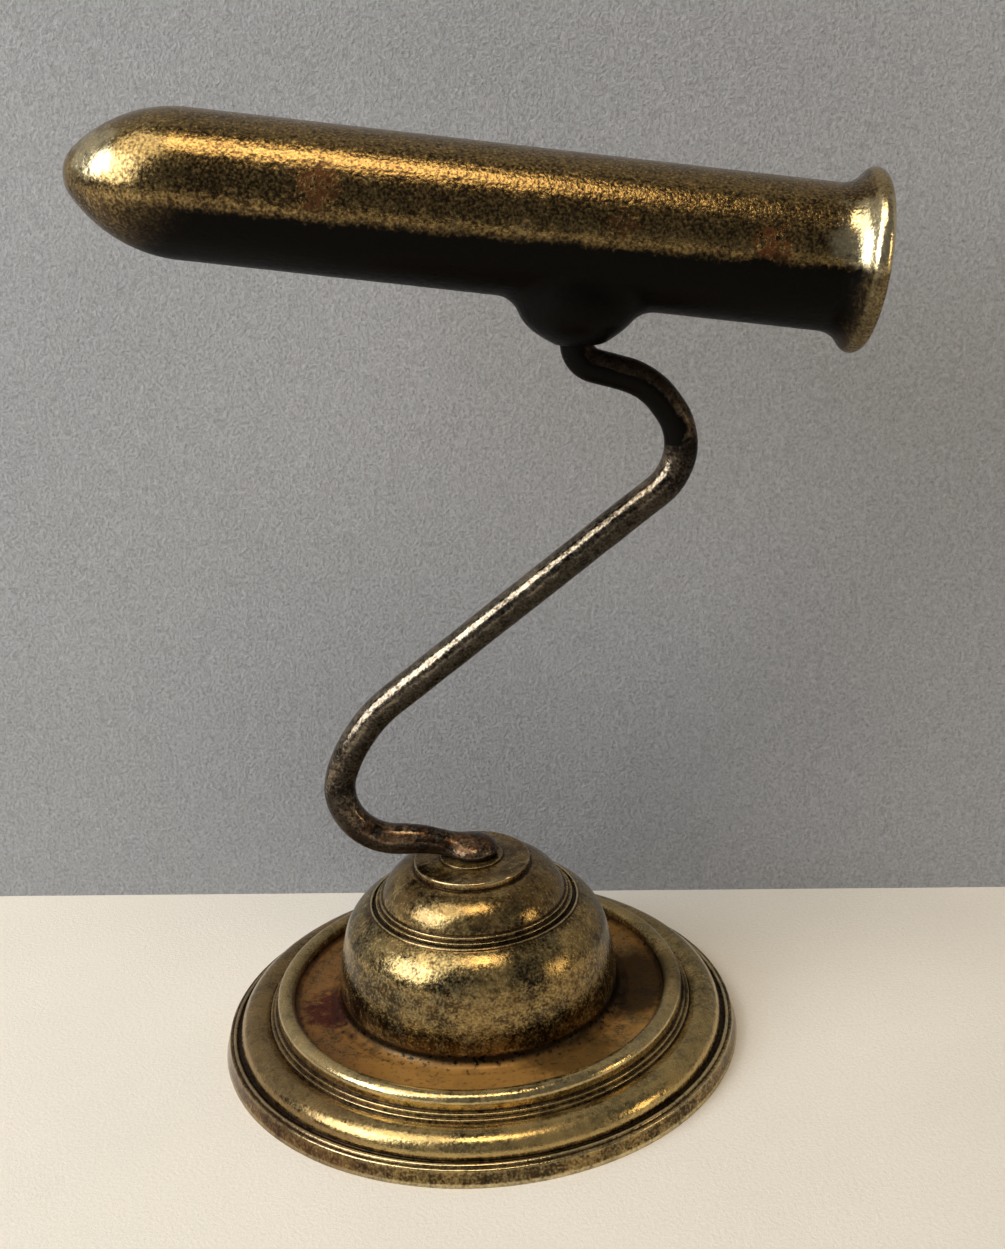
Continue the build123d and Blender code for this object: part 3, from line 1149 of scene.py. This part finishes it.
@dataclass(frozen=True)
class Studio:
    """The pale floor, the grey backdrop, the lamps and the camera."""

    floor_half: float = 1.5
    floor_colour: Colour = (0.87, 0.82, 0.75)
    backdrop_place: float = 0.0605
    backdrop_slope: float = -0.085
    backdrop_height: float = 0.6
    backdrop_colour: Colour = (0.46, 0.47, 0.50)
    world_colour: Colour = (0.12, 0.12, 0.125)
    target: Point = (0.0, 0.0, 0.10)
    image_width: int = 1005
    image_height: int = 1249
    focal_pixels: float = 1650.0
    sensor: float = 36.0
    camera_place: Point = (0.00927, -0.32151, 0.21026)
    pitch: float = 19.677
    roll: float = 2.913
    lamps: tuple[Lamp, ...] = (
        Lamp("window", (-0.80, -0.40, 0.45), 1.1, 0.66, 0.62, 7.0, (0.95, 0.98, 1.0)),
        Lamp("ceiling_panel", (-0.45, -0.32, 0.83), 1.3, 0.80, 0.80, 2.8, (1.0, 0.95, 0.82)),
        Lamp("ceiling_lamp", (0.04, -0.34, 0.94), 1.2, 0.42, 0.36, 6.8, (1.0, 0.80, 0.52)),
        Lamp("side_lamp", (0.94, -0.32, 0.15), 1.0, 0.15, 0.34, 5.0, (1.0, 0.78, 0.45)),
    )

    def build(self) -> None:
        """Builds the whole set."""
        self.stage()
        for lamp in self.lamps:
            lamp.build(Vector(self.target))
        self.camera()

    def stage(self) -> None:
        """Lays the floor, hangs the backdrop and sets the ambient light."""
        half, height = self.floor_half, self.backdrop_height
        left = self.backdrop_place - self.backdrop_slope * half
        right = self.backdrop_place + self.backdrop_slope * half
        floor = [(-half, -half, 0), (half, -half, 0), (half, half, 0), (-half, half, 0)]
        wall = [(-half, left, 0), (half, right, 0), (half, right, height), (-half, left, height)]
        face = np.array([(0, 1, 2, 3)])
        floor_piece = solid("floor", np.array(floor), face)
        floor_piece.data.materials.append(cloth("floor_cloth", self.floor_colour, 0.25, False))
        wall_piece = solid("backdrop", np.array(wall), face)
        wall_piece.data.materials.append(cloth("backdrop_cloth", self.backdrop_colour, 1.5, True))
        world = bpy.data.worlds.new("studio")
        world.use_nodes = True
        world.node_tree.nodes["Background"].inputs["Color"].default_value = (*self.world_colour, 1)
        bpy.context.scene.world = world

    def camera(self) -> None:
        """Sets the camera at the photograph's viewpoint."""
        data = bpy.data.cameras.new("camera")
        data.sensor_width = self.sensor
        data.lens = self.focal_pixels * self.sensor / max(self.image_width, self.image_height)
        pitch, roll = radians(self.pitch), radians(self.roll)
        right, up = Vector((1, 0, 0)), Vector((0, sin(pitch), cos(pitch)))
        axes = Matrix((right * cos(roll) - up * sin(roll), right * sin(roll) + up * cos(roll), -forward(pitch)))
        camera = bpy.data.objects.new("camera", data)
        camera.matrix_world = Matrix.Translation(self.camera_place) @ axes.transposed().to_4x4()
        bpy.context.scene.collection.objects.link(camera)
        bpy.context.scene.camera = camera


def forward(pitch: float) -> Vector:
    """The direction in which a camera with this downward pitch looks."""
    return Vector((0, cos(pitch), -sin(pitch)))


def cloth(name: str, colour: Colour, nap: float, one_sided: bool) -> bpy.types.Material:
    """Plain matt cloth for the set.

    Args:
        name: the material's name.
        colour: its colour.
        nap: how much its tone varies.
        one_sided: lets its back be seen through.

    Returns:
        The material.
    """
    shader = Shader(name)
    weave = shader.noise(0.8, 4.0, 0.75)
    tone = (weave - 0.5) * nap + (shader.noise(60.0, 3.0) - 0.5) * 0.12 + 1.0
    shader.feed(shader.surface.inputs["Base Color"], shader.tint(colour, tone))
    shader.feed(shader.surface.inputs["Normal"], shader.bump(weave, nap * 0.8 * MM))
    shader.surface.inputs["Roughness"].default_value = 0.95
    shader.surface.inputs["Specular IOR Level"].default_value = 0.1
    if one_sided:
        clear = shader.node("ShaderNodeBsdfTransparent").outputs[0]
        back = shader.node("ShaderNodeNewGeometry").outputs["Backfacing"]
        mixed = shader.node("ShaderNodeMixShader", None, {0: back, 1: shader.surface.outputs[0], 2: clear})
        output = next(node for node in shader.tree.nodes if node.type == "OUTPUT_MATERIAL")
        shader.tree.links.new(mixed.outputs[0], output.inputs["Surface"])
    return shader.material


def main() -> None:
    """Builds the iron and its studio."""
    logging.basicConfig(level=logging.INFO, format="%(name)s: %(message)s")
    scene = bpy.context.scene
    scene.view_settings.view_transform = "Standard"
    Studio().build()
    for sub_assembly in (Foot(), Stem(), Barrel()):
        sub_assembly.build()


if __name__ == "__main__":
    main()
